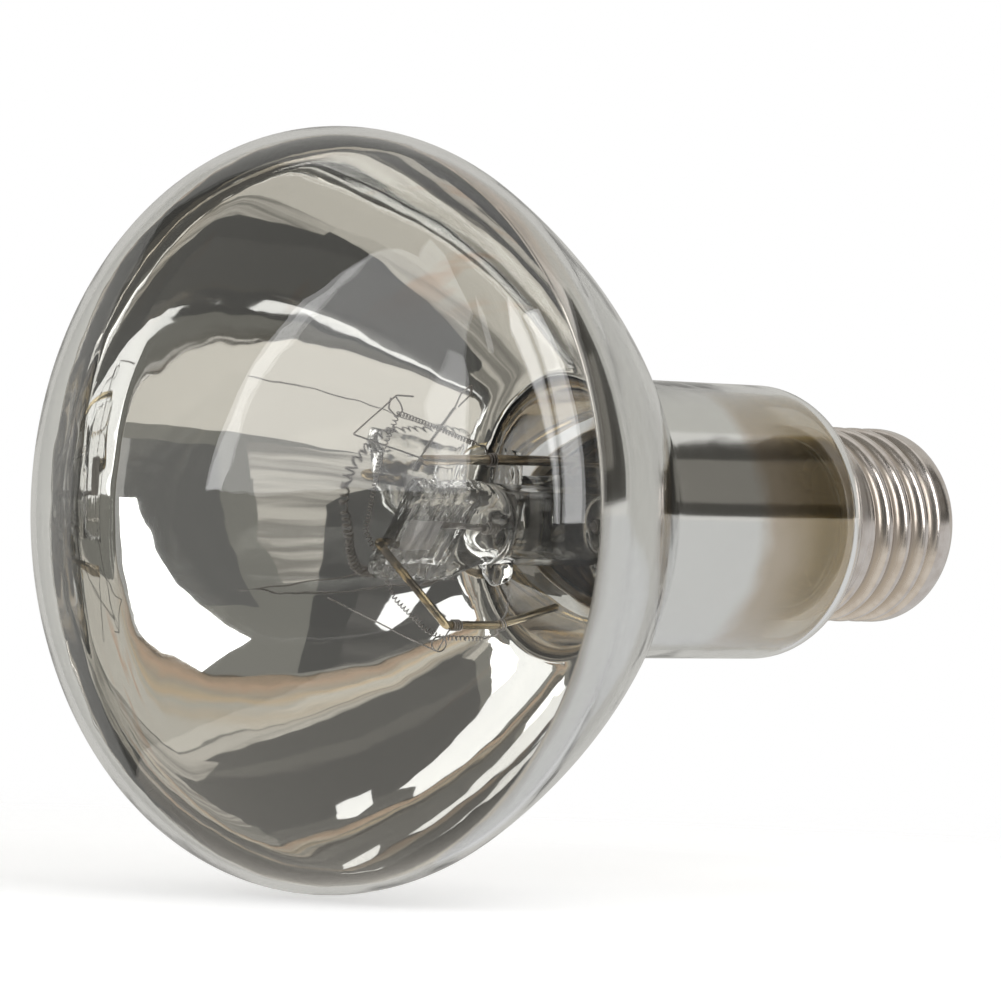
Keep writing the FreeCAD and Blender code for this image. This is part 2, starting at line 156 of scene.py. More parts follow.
lower_hook_side = 1.5
lower_hook_swing = 5.3
lower_hook_reach = 13.0
lower_hook_rise = 5.6
twist_length = 1.6
twist_pitch = 0.4
ring_radius = 1.3
filament_radius = 0.35
filament_wire = 0.08
filament_pitch = 0.56
filament_hang = 1.4
filament_start = 12.4
filament_swing = 7.6
filament_sag = 1.7
filament_end = 11.0
coil_taper = 0.8
tie_wire = 1.5 * filament_wire
tie_pitch = 0.5

# Places that follow from these lengths and from the stem's front end
stem_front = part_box("stem_glass")[0].y / MM
pinch_back = stem_front - stem_to_pinch
arc_back = pinch_back - pinch_length - pinch_blend
arc_front = arc_back - arc_body_length
pinch_front = arc_front - pinch_blend - pinch_length
tip_drop = arc_radius + tip_proud
support_front = pinch_front + support_inset
support_height = arc_radius - arc_drop + support_gap
return_bend_y = pinch_front + return_set_back

# Where the finishes change along the lamp
amber_start_y = -50.0
amber_y = -45.0
bare_glass_y = -36.0
hot_wire_y = -96.5
cool_wire_y = -84.0
skirt_top_y = skirt_length - cap_length

# Camera fitted to the photograph: its distance, the turn of the lamp and its roll
camera_distance = 779.1
lamp_turn = radians(44.16)
lamp_roll = radians(1.69)
rim_centre_right = -21.62
rim_centre_down = 1.22
focal_pixels = 6305
picture_pixels = 1001
sensor_width = 36.0

# Studio
bowl_centre = Vector((0, -90, 0)) * MM
floor_gap = 0.5
floor_radius = 340.0
floor_fade_start = 60.0
floor_fade_end = 300.0
right_glow = 4.4
left_glow = 1.5
streak_dim = 0.45


def make_camera():
    """The camera, from the place and turn of the lamp in the camera's own view."""
    right = Vector((cos(lamp_turn) * cos(lamp_roll), sin(lamp_turn) * cos(lamp_roll), sin(lamp_roll)))
    down = Vector((cos(lamp_turn) * sin(lamp_roll), sin(lamp_turn) * sin(lamp_roll), -cos(lamp_roll)))
    ahead = Vector((-sin(lamp_turn), cos(lamp_turn), 0))
    rim_centre = Vector((0, rim_y, 0))
    place = rim_centre - (right * rim_centre_right + down * rim_centre_down + ahead * camera_distance)
    data = bpy.data.cameras.new("camera")
    data.sensor_width = sensor_width
    data.lens = focal_pixels / picture_pixels * sensor_width
    data.clip_end = 20
    camera = bpy.data.objects.new("camera", data)
    turned = Matrix((right, -down, -ahead)).transposed()
    camera.matrix_world = Matrix.Translation(place * MM) @ turned.to_4x4()
    bpy.context.scene.collection.objects.link(camera)
    bpy.context.scene.camera = camera
    return right, -down, -ahead


view_right, view_up, view_back = make_camera()


class Value:
    """An output of a material's node, with arithmetic that adds Math nodes."""

    def __init__(self, finish, socket):
        self.finish = finish
        self.socket = socket

    def math(self, operation, *values):
        return self.finish.node("ShaderNodeMath", {"operation": operation}, dict(enumerate(values)))

    def __add__(self, other):
        return self.math("ADD", self, other)

    __radd__ = __add__

    def __sub__(self, other):
        return self.math("SUBTRACT", self, other)

    def __rsub__(self, other):
        return self.math("SUBTRACT", other, self)

    def __mul__(self, other):
        return self.math("MULTIPLY", self, other)

    __rmul__ = __mul__

    def between(self, low, high):
        """0 below low, 1 above high and a soft step between them."""
        return self.finish.node("ShaderNodeMapRange", {"interpolation_type": "SMOOTHSTEP"},
                                {"Value": self, "From Min": low, "From Max": high})


class Finish:
    """A material made of nodes round one Principled shader."""

    def __init__(self, name, **constants):
        self.material = bpy.data.materials.new(name)
        self.material.use_nodes = True
        self.tree = self.material.node_tree
        self.shader = self.tree.nodes["Principled BSDF"]
        self.set(**constants)

    def set(self, **values):
        """Feed the shader's sockets, named with _ for each space."""
        for name, value in values.items():
            self.feed(self.shader.inputs[name.replace("_", " ")], value)

    def feed(self, socket, value):
        if isinstance(value, Value):
            self.tree.links.new(value.socket, socket)
        elif isinstance(value, (tuple, list)) and len(value) == 3 and socket.type == "RGBA":
            socket.default_value = (*value, 1.0)
        else:
            socket.default_value = value

    def node(self, kind, settings, values, output=0):
        node = self.tree.nodes.new(kind)
        for name, setting in settings.items():
            if name == "stops":
                self.set_stops(node.color_ramp, setting)
            else:
                setattr(node, name, setting)
        for name, value in values.items():
            self.feed(node.inputs[name], value)
        return Value(self, node.outputs[output])

    def set_stops(self, ramp, stops):
        while len(ramp.elements) < len(stops):
            ramp.elements.new(1.0)
        for element, (place, colour) in zip(ramp.elements, stops):
            element.position = place
            element.color = (*colour, 1.0)

    def place(self, scale=(1, 1, 1)):
        """The piece's own coordinates in millimetres, stretched by scale."""
        coordinates = self.node("ShaderNodeTexCoord", {}, {}, "Object")
        size = [s / MM for s in scale]
        return self.node("ShaderNodeMapping", {}, {"Vector": coordinates, "Scale": size})

    def along(self, axis):
        """One coordinate of the piece, in millimetres."""
        return self.node("ShaderNodeSeparateXYZ", {}, {"Vector": self.place()}, axis)

    def off_axis(self):
        """Distance from the lamp's axis in millimetres."""
        flat = self.place(scale=(1, 0, 1))
        return self.node("ShaderNodeVectorMath", {"operation": "LENGTH"}, {0: flat}, "Value")

    def attribute(self, name):
        """A number kept on the piece's vertices."""
        return self.node("ShaderNodeAttribute", {"attribute_name": name}, {}, "Fac")

    def noise(self, scale, detail=2.0, stretch=(1, 1, 1)):
        """Soft noise from 0 to 1, with scale in features per millimetre."""
        return self.node("ShaderNodeTexNoise", {},
                         {"Vector": self.place(stretch), "Scale": scale, "Detail": detail})

    def mix(self, share, first, second):
        """A colour between two colours."""
        return self.node("ShaderNodeMix", {"data_type": "RGBA"},
                         {0: share, 6: self.colour(first), 7: self.colour(second)}, 2)

    def colour(self, value):
        return value if isinstance(value, Value) else (*value, 1.0)

    def ramp(self, share, stops):
        """A colour from a row of places and colours."""
        return self.node("ShaderNodeValToRGB", {"stops": stops}, {"Fac": share})

    def bump(self, height, depth):
        """A normal from a height that runs from 0 to depth in millimetres."""
        return self.node("ShaderNodeBump", {}, {"Height": height, "Distance": depth * MM, "Strength": 1.0})


def envelope_finish():
    """Clear blown glass with the faint waves of its mould."""
    glass = Finish("clear_blown_glass", Base_Color=(0.985, 0.99, 0.98), Roughness=0.0, IOR=1.5,
                   Transmission_Weight=1.0)
    waves = glass.noise(0.045, 1.0) + glass.noise(0.16, 1.0) * 0.12
    glass.set(Normal=glass.bump(waves, 0.25))
    return glass.material


def film_finish():
    """Bright metal film, thin and amber by the cap, with a fringe at its tilted front edge."""
    film = Finish("metal_film", Metallic=1.0)
    y = film.along(1)
    ragged = film.noise(0.12, 3.0) * 5.0 - 2.5
    thin = (y + ragged).between(amber_start_y, amber_y)
    gone = (y + ragged).between(amber_y, bare_glass_y)
    behind = y - film.along(0) * (radians(film_lap) * rim_round / rim_radius)
    streaks = film.noise(0.3, 2.0, stretch=(0.25, 1, 0.25))
    edge = behind + streaks * 3.0
    up = film.along(2)
    high = up.between(18.0, 42.0)
    rust = film.noise(0.07, 4.0, stretch=(0.5, 2.5, 0.5)).between(0.55, 0.66) * up.between(22.0, 32.0)
    silver = film.mix(film.noise(0.05, 2.0), (0.86, 0.855, 0.84), (0.80, 0.795, 0.78))
    silver = film.mix(rust, silver, (0.80, 0.66, 0.57))
    bands = film.ramp(edge.between(rim_y - 2.5, rim_y + 9.5),
                      [(0.0, (0.36, 0.31, 0.26)), (0.18, (0.74, 0.57, 0.45)), (0.34, (0.66, 0.61, 0.54)),
                       (0.50, (0.86, 0.73, 0.56)), (0.66, (0.78, 0.77, 0.74)), (0.82, (0.84, 0.78, 0.69)),
                       (1.0, (0.83, 0.825, 0.81))])
    rim_dark = film.mix(edge.between(rim_y - 2.0, rim_y + 2.0), (0.40, 0.37, 0.33), silver)
    banded = film.mix(edge.between(rim_y + 6.0, rim_y + 11.0), bands, silver)
    stained = film.mix(high, rim_dark, banded)
    amber = film.mix(gone, (0.56, 0.47, 0.36), (0.52, 0.38, 0.16))
    film.set(Base_Color=film.mix(thin, stained, amber),
             Roughness=film.attribute("outside") * 0.07 + thin * 0.05 + 0.025,
             Alpha=1.0 - gone * 0.6)
    ripple = film.noise(0.22, 1.0, stretch=(1, 0.35, 1)) * 0.5 + film.noise(0.06, 1.0) * 2.0
    film.set(Normal=film.bump(ripple, 0.05))
    return film.material


def quartz_finish():
    """Clear quartz with a few specks, rippled by the press at both pinches."""
    quartz = Finish("clear_quartz", Base_Color=(0.99, 0.985, 0.97), IOR=1.46, Transmission_Weight=0.97)
    y = quartz.along(1)
    front_pressed = 1.0 - y.between(arc_front - pinch_blend, arc_front)
    pressed = front_pressed + y.between(arc_back, arc_back + pinch_blend)
    specks = quartz.noise(2.6, 3.0).between(0.62, 0.74)
    quartz.set(Roughness=specks * 0.05,
               Normal=quartz.bump(quartz.noise(1.1, 2.0, stretch=(1, 1.6, 1)) * pressed, 0.07))
    return quartz.material


def stem_finish():
    """Lead glass, a little greyer and softer than the shell's."""
    glass = Finish("stem_lead_glass", Base_Color=(0.93, 0.95, 0.93), Roughness=0.02, IOR=1.55,
                   Transmission_Weight=1.0)
    return glass.material


def nickel_finish():
    """Drawn wire with heat colours in patches."""
    wire = Finish("heat_browned_nickel", Metallic=1.0)
    patches = wire.noise(0.18, 2.0).between(0.38, 0.66)
    wire.set(Base_Color=wire.mix(patches, (0.50, 0.44, 0.36), (0.38, 0.30, 0.20)),
             Roughness=wire.noise(1.2, 3.0) * 0.12 + 0.11,
             Normal=wire.bump(wire.noise(3.0, 2.0, stretch=(1, 0.1, 1)), 0.02))
    return wire.material


def browned_finish():
    """The bent wire: nearly black by the hot pinch, golden along its free run."""
    wire = Finish("browned_nickel", Metallic=1.0)
    cooled = wire.along(1).between(hot_wire_y, cool_wire_y)
    streak = wire.noise(0.7, 3.0, stretch=(1, 0.5, 1))
    hot = wire.mix(streak.between(0.4, 0.6), (0.10, 0.085, 0.07), (0.42, 0.33, 0.20))
    wire.set(Base_Color=wire.mix(cooled, hot, (0.80, 0.68, 0.46)),
             Roughness=0.12 + streak * 0.08)
    return wire.material


def tungsten_finish():
    metal = Finish("drawn_tungsten", Metallic=1.0)
    metal.set(Base_Color=metal.mix(metal.noise(0.6), (0.34, 0.32, 0.31), (0.24, 0.22, 0.21)),
              Roughness=metal.noise(2.0) * 0.2 + 0.25)
    return metal.material


def foil_finish():
    metal = Finish("molybdenum_foil", Metallic=1.0)
    metal.set(Base_Color=metal.mix(metal.noise(0.9), (0.52, 0.50, 0.49), (0.36, 0.35, 0.36)),
              Roughness=metal.noise(1.5) * 0.2 + 0.22)
    return metal.material


def cap_finish():
    """Nickel on brass, rougher in the roots and on the skirt, with painted shade that darkens the thread
    roots.
    """
    metal = Finish("nickel_plated_brass", Metallic=1.0)
    radius = metal.off_axis()
    crest = radius.between(cap_radius - thread_depth, cap_radius - 0.2)
    skirt = 1.0 - metal.along(1).between(skirt_top_y - 0.2, skirt_top_y + 0.6)
    stain = metal.noise(0.5, 4.0)
    plate = metal.mix(stain.between(0.35, 0.75), (0.73, 0.68, 0.64), (0.62, 0.56, 0.51))
    # painted shade: the thread roots, lying further in than the crests, get a darker base colour
    plate = metal.mix(crest, (0.48, 0.42, 0.36), plate)
    scuffs = metal.noise(1.0, 5.0, stretch=(1, 4, 1))
    metal.set(Base_Color=plate,
              Roughness=0.16 + (1.0 - crest) * 0.12 + skirt * 0.10 + stain * 0.10,
              Normal=metal.bump(scuffs, 0.012))
    return metal.material


def contact_finish():
    metal = Finish("bare_brass", Metallic=1.0)
    metal.set(Base_Color=metal.mix(metal.noise(0.7, 3.0), (0.80, 0.66, 0.42), (0.66, 0.52, 0.33)),
              Roughness=metal.noise(1.5, 3.0) * 0.25 + 0.18)
    return metal.material


def solder_finish():
    metal = Finish("tin_solder", Metallic=1.0)
    metal.set(Base_Color=metal.mix(metal.noise(1.2, 3.0), (0.74, 0.75, 0.76), (0.58, 0.59, 0.61)),
              Roughness=metal.noise(2.0, 3.0) * 0.25 + 0.2,
              Normal=metal.bump(metal.noise(1.6, 3.0), 0.12))
    return metal.material


def dark_glass_finish():
    glass = Finish("black_cap_glass", Base_Color=(0.012, 0.012, 0.015), IOR=1.52)
    glass.set(Roughness=glass.noise(0.8, 3.0) * 0.12 + 0.04,
              Normal=glass.bump(glass.noise(0.5, 2.0), 0.15))
    return glass.material


def ceramic_finish():
    body = Finish("pale_ceramic", IOR=1.5)
    body.set(Base_Color=body.mix(body.noise(1.5, 4.0), (0.80, 0.77, 0.70), (0.70, 0.66, 0.58)),
             Roughness=body.noise(2.0, 3.0) * 0.2 + 0.6)
    return body.material


def cement_finish():
    body = Finish("baked_cement", IOR=1.5)
    body.set(Base_Color=body.mix(body.noise(2.0, 5.0), (0.60, 0.50, 0.36), (0.42, 0.34, 0.25)),
             Roughness=0.85, Normal=body.bump(body.noise(3.0, 4.0), 0.2))
    return body.material


FINISHES = {
    "clear_glass": envelope_finish(),
    "mirror_coat": film_finish(),
    "quartz": quartz_finish(),
    "stem_glass": stem_finish(),
    "nickel_wire": nickel_finish(),
    "browned_wire": browned_finish(),
    "tungsten": tungsten_finish(),
    "molybdenum": foil_finish(),
    "cap_metal": cap_finish(),
    "contact_metal": contact_finish(),
    "solder": solder_finish(),
    "dark_glass": dark_glass_finish(),
    "ceramic_body": ceramic_finish(),
    "cement": cement_finish(),
}


SLOTS = {part["node"]: part["material_slot"] for part in frame["record"]["subparts"]}


def outline(start, heading, moves, inset=0.0, spacing=1.0):
    """Points of a tangent outline and its end, moved inwards by inset.

    Heading 0 runs along +Y and 90 outwards. A move is a straight length with turn 0, or
    an arc's radius with its turn in degrees, positive outwards.
    """
    r, y = start
    heading = radians(heading)
    points = [(r - inset * cos(heading), y + inset * sin(heading))]
    for size, turn in moves:
        length = size if turn == 0 else size * abs(radians(turn))
        steps = max(1, round(length / spacing))
        if turn != 0:
            steps = max(steps, round(abs(turn) / 4))
        for _ in range(steps):
            step_turn = radians(turn) / steps
            chord = length / steps
            if turn != 0:
                chord = 2 * size * sin(abs(step_turn) / 2)
            r += chord * sin(heading + step_turn / 2)
            y += chord * cos(heading + step_turn / 2)
            heading += step_turn
            points.append((r - inset * cos(heading), y + inset * sin(heading)))
    return points, (r, y)


# The envelope's outline, worked out from its arcs, and the places that follow from it
rim_centre_turn = degrees(asin((rim_radius - rim_round) / (face_radius - rim_round)))
face_tip_y = rim_y + (face_radius - rim_round) * cos(radians(rim_centre_turn)) - face_radius
back_radius = rim_radius - rim_back_round * (1 - cos(radians(rim_back_turn)))
bowl_end_turn = degrees(acos((neck_radius - back_radius + bowl_round * cos(radians(rim_back_turn))
                              + neck_fillet) / (bowl_round + neck_fillet)))
bowl_moves = [(rim_back_round, -rim_back_turn), (bowl_round, rim_back_turn - bowl_end_turn),
              (neck_fillet, bowl_end_turn)]
shoulder_fall = 1 - cos(radians(shoulder_turn))
shoulder_step = neck_radius - throat_radius - (shoulder_round + throat_fillet) * shoulder_fall
shoulder_moves = [(shoulder_round, -shoulder_turn), (shoulder_step / sin(radians(shoulder_turn)), 0),
                  (throat_fillet, shoulder_turn)]
neck_start_y = outline((rim_radius, rim_y), 0, bowl_moves)[1][1]
shoulder_length = outline((neck_radius, 0), 0, shoulder_moves)[1][1]
shoulder_drop = neck_radius - shoulder_round * shoulder_fall - cap_radius
shoulder_seat = shoulder_round * sin(radians(shoulder_turn)) + shoulder_drop / tan(radians(shoulder_turn))
neck_end_y = -cap_length - 2 * seat - shoulder_seat
throat_start_y = neck_end_y + shoulder_length
thread_start_y = skirt_top_y
throat_end_y = thread_start_y + 1.6 * thread_pitch


def lathe(points, steps, closed):
    """A section turned all the way round the lamp's axis."""
    bm = bmesh.new()
    verts = [bm.verts.new((r * MM, y * MM, 0)) for r, y in points]
    pairs = list(zip(verts, verts[1:]))
    if closed:
        pairs.append((verts[-1], verts[0]))
    edges = [bm.edges.new(pair) for pair in pairs]
    bmesh.ops.spin(bm, geom=verts + edges, cent=(0, 0, 0), axis=(0, 1, 0), angle=2 * pi,
                   steps=steps, use_merge=True)
    bmesh.ops.remove_doubles(bm, verts=bm.verts, dist=1e-7)
    bmesh.ops.recalc_face_normals(bm, faces=bm.faces)
    return bm


def placed(name, bm, material):
    """A finished mesh and its material, made an object of the scene."""
    mesh = bpy.data.meshes.new(name)
    bm.to_mesh(mesh)
    bm.free()
    mesh.materials.append(material)
    thing = bpy.data.objects.new(name, mesh)
    bpy.context.scene.collection.objects.link(thing)
    return thing


def piece(name, bm, finish, node):
    """A piece of the lamp, which rides on its body and stands for one of its solids."""
    thing = placed(name, bm, FINISHES[finish])
    thing.data.shade_smooth()
    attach(thing, "root")
    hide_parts(node)


def envelope_section(inset):
    """The shell's outline from the tip of its face to its throat, moved inwards by inset."""
    moves = [(face_radius, -rim_centre_turn), (rim_round, rim_centre_turn - 90)] + bowl_moves
    moves += [(neck_end_y - neck_start_y, 0)] + shoulder_moves + [(throat_end_y - throat_start_y, 0)]
    return outline((0, face_tip_y), 90, moves, inset)[0]


def make_envelope():
    """The blown shell, with its true wall."""
    section = envelope_section(0) + envelope_section(glass_wall)[::-1]
    piece("blown_envelope", lathe(section, 192, False), "clear_glass", "glass_envelope")


def make_film():
    """The film behind the glass, from its tilted front edge to the shoulder.

    Its section starts further forward than the cut that leaves that edge.
    """
    moves = bowl_moves + [(neck_end_y - neck_start_y, 0), (shoulder_round, -0.7 * shoulder_turn)]
    near = glass_wall + coat_gap
    ahead_turn = 2.5 * film_lap
    start = outline((rim_radius, rim_y), 180, [(rim_round, ahead_turn)])[1]
    moves = [(rim_round, -ahead_turn)] + moves
    outer = outline(start, ahead_turn, moves, near)[0]
    inner = outline(start, ahead_turn, moves, near + coat_thickness)[0]
    bm = lathe(outer + inner[::-1], 192, True)
    lap = rim_round * sin(radians(film_lap))
    slope = lap / rim_radius
    cut = bmesh.ops.bisect_plane(bm, geom=list(bm.verts) + list(bm.edges) + list(bm.faces),
                                 plane_co=Vector((0, rim_y - lap, 0)) * MM, plane_no=(slope, -1, 0),
                                 clear_outer=True, dist=1e-7)
    rim = [edge for edge in cut["geom_cut"] if isinstance(edge, bmesh.types.BMEdge)]
    bmesh.ops.bridge_loops(bm, edges=rim)
    bmesh.ops.recalc_face_normals(bm, faces=bm.faces)
    bm.normal_update()
    outside = bm.verts.layers.float.new("outside")
    for vert in bm.verts:
        vert[outside] = float(vert.normal.dot(Vector((vert.co.x, 0, vert.co.z))) > 0)
    piece("reflecting_film", bm, "mirror_coat", "mirror_coating")


def thread_dip(y, turn):
    """How deep the rolled thread lies below its crest, at a height and a turn in radians."""
    place = (y - thread_start_y) / thread_pitch - turn / (2 * pi)
    off_root = abs((place % 1) - 0.5) * thread_pitch
    quarter = thread_pitch / 4
    if off_root > quarter:
        off_crest = thread_pitch / 2 - off_root
        return thread_round - sqrt(thread_round ** 2 - off_crest ** 2)
    half_depth = thread_round - sqrt(thread_round ** 2 - quarter ** 2)
    return 2 * half_depth - (thread_round - sqrt(thread_round ** 2 - off_root ** 2))


def soft_step(value, low, high):
    """0 below low, 1 above high and a soft step between them."""
    share =min(max((value - low) / (high - low), 0), 1)
    return share * share * (3 - 2 * share)


def make_cap():
    """The thin rolled shell, with its single thread running out at both ends."""
    moves = [(skirt_length, 0), (thread_turns * thread_pitch, 0), (cap_end_land, 0),
             (cap_end_round, -cap_end_turn), (cap_end_run, 0)]
    start = (cap_radius, -cap_length)
    outer = outline(start, 0, moves, 0, thread_row)[0]
    inner = outline(start, 0, moves, cap_wall, thread_row)[0]
    bm = lathe(outer + inner[::-1], 180, True)
    end_y = thread_start_y + thread_turns * thread_pitch
    for vert in bm.verts:
        y = vert.co.y / MM
        runs = soft_step(y, thread_start_y - thread_lead, thread_start_y - thread_lead + thread_fade)
        runs *= 1 - soft_step(y, end_y - thread_fade, end_y)
        if runs > 0:
            radius = hypot(vert.co.x, vert.co.z)
            dip = thread_dip(y, atan2(vert.co.x, vert.co.z)) * runs * MM
            vert.co.x *= 1 - dip / radius
            vert.co.z *= 1 - dip / radius
    piece("threaded_cap", bm, "cap_metal", "cap_shell")


def line_points(points, bend):
    """Points along a smooth line that rounds each corner within bend of it."""
    points = [Vector(point) for point in points]
    controls = [points[0]]
    for before, corner, after in zip(points, points[1:], points[2:]):
        back = (before - corner).normalized() * bend
        ahead = (after - corner).normalized() * bend
        controls += [corner + back, corner, corner + ahead]
    controls.append(points[-1])
    data = bpy.data.curves.new("line", "CURVE")
    data.dimensions = "3D"
    spline = data.splines.new("NURBS")
    spline.points.add(len(controls) - 1)
    for point, control in zip(spline.points, controls):
        point.co = (*control, 1)
    spline.order_u = 3
    spline.use_endpoint_u = True
    spline.resolution_u = 8
    thing = bpy.data.objects.new("line", data)
    mesh = bpy.data.meshes.new_from_object(thing)
    line = [vert.co.copy() for vert in mesh.vertices]
    bpy.data.objects.remove(thing)
    bpy.data.meshes.remove(mesh)
    bpy.data.curves.remove(data)
    return line


def tube(lines, radius, sides, tip=0.0):
    """A mesh of round wires along lines of points, the last end rounded over tip."""
    data = bpy.data.curves.new("tube", "CURVE")
    data.dimensions = "3D"
    data.bevel_depth = radius * MM
    data.bevel_resolution = max(sides // 2 - 2, 0)
    data.use_fill_caps = True
    for line in lines:
        end = Vector(line[-1])
        if tip:
            ahead = (end - Vector(line[-2])).normalized()
            line = line[:-1] + [end - ahead * tip * share for share in (1, 0.8, 0.6, 0.4, 0.22, 0.08, 0)]
        spline = data.splines.new("POLY")
        spline.points.add(len(line) - 1)
        for point, place in zip(spline.points, line):
            point.co = (*(Vector(place) * MM), 1)
            left = (Vector(place) - end).length
            if left < tip:
                point.radius = max(sqrt(1 - (1 - left / tip) ** 2), 0.15)
    thing = bpy.data.objects.new("tube", data)
    mesh = bpy.data.meshes.new_from_object(thing)
    bm = bmesh.new()
    bm.from_mesh(mesh)
    bmesh.ops.remove_doubles(bm, verts=bm.verts, dist=1e-7)
    bmesh.ops.recalc_face_normals(bm, faces=bm.faces)
    bpy.data.objects.remove(thing)
    bpy.data.meshes.remove(mesh)
    bpy.data.curves.remove(data)
    return bm


def evenly(line, step):
    """The same line with its points a step apart."""
    spaced = [line[0].copy()]
    left = step
    for start, end in zip(line, line[1:]):
        run = (end - start).length
        done = 0.0
        while run - done >= left:
            done += left
            spaced.append(start.lerp(end, done / run))
            left = step
        left -= run - done
    return spaced


def coiled(line, radius, pitch, points_a_turn=12):
    """A helix round a line, of one radius or of a radius for each distance along it."""
    step = pitch / points_a_turn
    line = evenly(line, step)
    side = Vector((0, 0, 1))
    helix = []
    for number, (start, end) in enumerate(zip(line, line[1:])):
        ahead = (end - start).normalized()
        side = (side - ahead * side.dot(ahead)).normalized()
        other = ahead.cross(side)
        turn = 2 * pi * number / points_a_turn
        size = radius(number * step) if callable(radius) else radius
        helix.append(start + (side * cos(turn) + other * sin(turn)) * size)
    return helix


def joined(*meshes):
    """Several meshes made one."""
    whole = meshes[0]
    for bm in meshes[1:]:
        mesh = bpy.data.meshes.new("part")
        bm.to_mesh(mesh)
        whole.from_mesh(mesh)
        bpy.data.meshes.remove(mesh)
        bm.free()
    return whole


def united(*meshes):
    """Closed meshes made one skin."""
    things = []
    for bm in meshes:
        mesh = bpy.data.meshes.new("part")
        bm.to_mesh(mesh)
        bm.free()
        things.append(bpy.data.objects.new("part", mesh))
        bpy.context.scene.collection.objects.link(things[-1])
    for other in things[1:]:
        union = things[0].modifiers.new("union", "BOOLEAN")
        union.operation = "UNION"
        union.object = other
        union.solver = "EXACT"
    depsgraph = bpy.context.evaluated_depsgraph_get()
    mesh = bpy.data.meshes.new_from_object(things[0].evaluated_get(depsgraph))
    bm = bmesh.new()
    bm.from_mesh(mesh)
    bpy.data.meshes.remove(mesh)
    for thing in things:
        bpy.data.objects.remove(thing)
    return bm


def pinch_point(along, y):
    """A point of the lamp from its place across the tilted pinch."""
    tilt = radians(pinch_tilt)
    return (along * sin(tilt), y, along * cos(tilt) - arc_drop)


def make_rod():
    """The straight rod above the arc tube, stepped down to its lead at the stem."""
    low = stem_lead_place + stem_lead_radius + support_radius + seat
    step_y = stem_front - support_step
    rod = [(0, support_front, support_height), (0, step_y, support_height + support_rise),
           (0, step_y + 3, low), (0, stem_front - 4 * seat, low)]
    piece("top_rod", tube([line_points(rod, 1.2)], support_radius, 16), "nickel_wire", "support_rod")


def make_return_wire():
    """The stiff wire from the front pinch, bent back under the arc tube to its rounded end."""
    level_end_y = return_bend_y + return_run
    back = [pinch_point(front_lead_place, pinch_front + foil_inset),
            pinch_point(front_lead_place, pinch_front - return_reach),
            (return_side, return_bend_y, -return_drop),
            ((1 - return_draw_in) * return_side, level_end_y, -return_drop),
            (0.25 * return_side, level_end_y + return_tail, return_rise - return_drop)]
    piece("bent_wire", tube([line_points(back, 0.95)], return_radius, 16, return_radius),
          "browned_wire", "return_wire")


def under_return(share, radius):
    """A point under the level run of the return wire, for a wire of the given radius."""
    return (return_side * (1 - return_draw_in * share), return_bend_y + share * return_run,
            -return_drop - return_radius - radius - seat)


def arc_points(centre, radius, start, end, across, steps):
    """Points of a round loop about an axis, from start to end in degrees up from -Y."""
    side = Vector(across).normalized()
    ahead = Vector((0, -1, 0))
    up = side.cross(ahead)
    turns = [radians(start + (end - start) * step / steps) for step in range(steps + 1)]
    return [Vector(centre) + (ahead * cos(turn) + up * sin(turn)) * radius for turn in turns]


def make_front_hook():
    """The front hook, with the small eye from which the filament hangs."""
    side = support_radius + hook_radius + seat
    far_y = support_front - hook_reach
    peak = support_height + hook_peak
    back_y = far_y + hook_return
    hook = [(side, support_front + hook_weld, support_height),
            (side, support_front - 0.5, support_height), (side, far_y, support_height + hook_rise),
            (side, back_y, peak - 2 * hook_radius), (side, far_y + 1.14 * hook_return, peak),
            (side, back_y + hook_tail, peak)]
    hung_y, hung_z = filament_route()[2][1:]
    eye = [(side - 0.25, back_y + 0.2, peak - 0.3), (side - 0.25, hung_y - 1.4, hung_z + 0.5),
           (side, hung_y - 0.4, hung_z - 0.5), (side + 0.1, hung_y + 0.7, hung_z + 0.2),
           (side + 0.05, hung_y + 0.3, hung_z + 1.1), (side + 0.25, back_y + 0.5, peak - 0.1)]
    piece("front_hook", tube([line_points(hook, 0.6), line_points(eye, 0.5)], hook_wire, 8),
          "tungsten", "upper_hook")


def make_far_hook():
    """The second hook, bound with fine wire up to its narrow eye."""
    side = -support_radius - hook_radius - seat
    top_y = support_front + far_hook_back
    top_z = support_height + far_hook_rise
    hook = [(side, support_front - 0.7, support_height - 3 * hook_radius),
            (side, top_y - 0.6, top_z - 0.7), (side, top_y + 0.3, top_z + 1.0),
            (side, top_y + 1.9, top_z + 2.1), (side + 0.1, top_y + 1.8, top_z + 0.9),
            (side + 0.1, top_y - 0.1, top_z - 0.6)]
    line = line_points(hook, 0.5)
    start = Vector(hook[0]).lerp(Vector(hook[1]), 0.25)
    binding = coiled([start, Vector(hook[1])], hook_wire + binding_lift, binding_pitch)
    bm = joined(tube([line], hook_wire, 8), tube([binding], binding_wire, 4))
    piece("far_hook_wire", bm, "tungsten", "far_hook")


def make_lower_hook():
    """The wire twisted round the return wire's bend, with its ring and long tail."""
    y, z = under_return(0.2, lower_hook_radius)[1:]
    low = z - lower_hook_drop
    bend = Vector((return_side, return_bend_y + 0.9, -return_drop))
    twist = coiled([bend, bend + Vector((-0.1, twist_length, 0))], return_radius + lower_wire,
                   twist_pitch, 16)
    ring_top = Vector((lower_hook_side + 1.0, y, z))
    ring_centre = (0.9 * lower_hook_side, y - 0.4, low + 0.15)
    ring = arc_points(ring_centre, ring_radius, 80, 430, (0.72, 0.69, 0), 28)
    tail_side = -0.5 * lower_hook_side
    tail = [ring[-1], Vector((tail_side, y - 1.0, low - 0.1)),
            Vector((tail_side - lower_hook_swing, y - lower_hook_reach, low + lower_hook_rise))]
    neck = line_points([twist[-1], ring_top, ring[0]], 0.3)
    lines = [twist, neck + ring[1:], line_points(tail, 0.3)]
    piece("lower_hook_wire", tube(lines, lower_wire, 8), "tungsten", "lower_hook")


